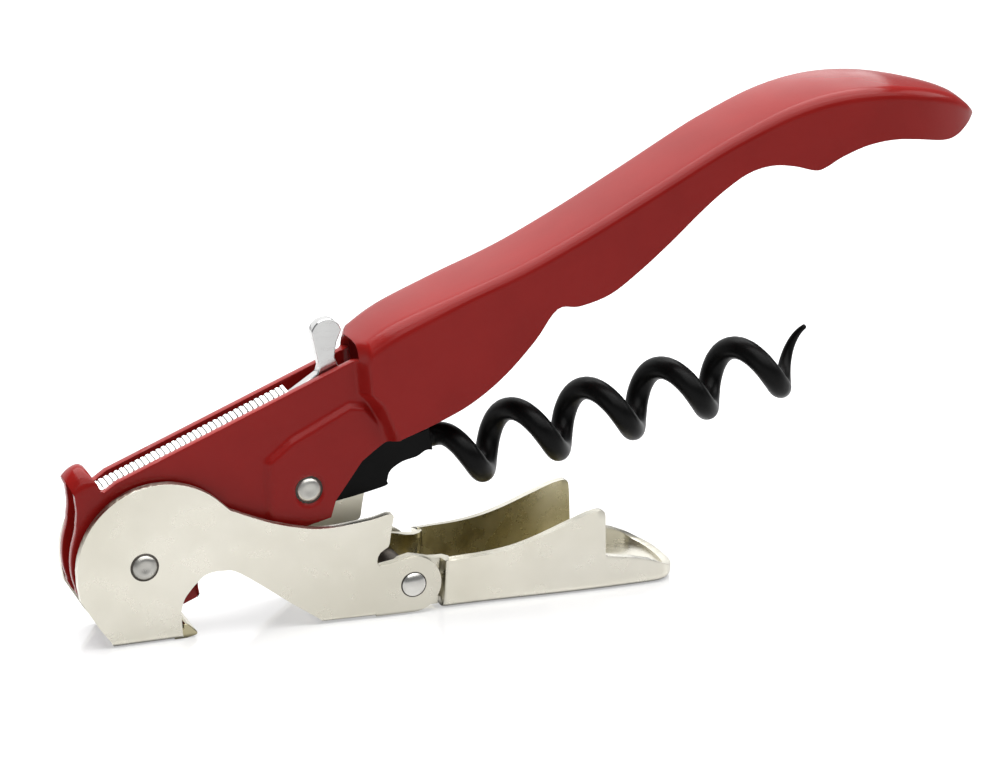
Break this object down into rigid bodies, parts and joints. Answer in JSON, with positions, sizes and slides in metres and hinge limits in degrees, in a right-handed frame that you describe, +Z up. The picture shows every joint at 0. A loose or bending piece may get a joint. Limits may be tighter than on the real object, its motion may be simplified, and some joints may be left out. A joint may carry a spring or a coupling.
{
  "type": "waiters corkscrew",
  "caption": "Folding waiters corkscrew with a folded red sheet handle, coated helical worm, toothed foil blade, bottle opener and a double-hinged fulcrum lever.",
  "frame": {"origin": "middle of the flat underside of the second lever, on the surface the object rests on", "axes": "+X from the lever end towards the tail of the handle, +Z up from the resting surface, +Y across, with y = 0 the plane of symmetry"},
  "size_m": [0.1152, 0.0132, 0.0586],
  "materials": {
    "red_paint": "gloss enamel",
    "blade_steel": "ground",
    "black_coating": "satin non-stick coating on steel",
    "nickel_plate": "satin nickel plate",
    "rivet_steel": "polished"
  },
  "bodies": {
    "handle": {"handle": "red_paint", "lever_pin": "rivet_steel", "worm_pin": "rivet_steel", "blade_spacers": "blade_steel"},
    "blade": {"blade": "blade_steel"},
    "worm": {"worm": "black_coating"},
    "lever_first": {"lever_first": "nickel_plate", "hinge_pin": "rivet_steel"},
    "lever_second": {"lever_second": "nickel_plate"}
  },
  "joints": [
    {"name": "lever_fold", "type": "hinge", "parent": "handle", "child": "lever_first", "pos_m": [-0.05, 0, 0.0095], "axis": [0, 1, 0], "range_deg": [-23, 95]},
    {"name": "lever_step", "type": "hinge", "parent": "lever_first", "child": "lever_second", "pos_m": [-0.0177, 0, 0.0037], "axis": [0, 1, 0], "range_deg": [0, 90]},
    {"name": "worm_fold", "type": "hinge", "parent": "handle", "child": "worm", "pos_m": [-0.0296, 0, 0.01605], "axis": [0, 1, 0], "range_deg": [-20, 81]},
    {"name": "blade_open", "type": "hinge", "parent": "handle", "child": "blade", "pos_m": [-0.05, 0, 0.0095], "axis": [0, -1, 0], "range_deg": [0, 32]}
  ],
  "couplings": [
    {"joint": "worm_fold", "follows": "lever_fold", "ratio": 0.85}
  ]
}
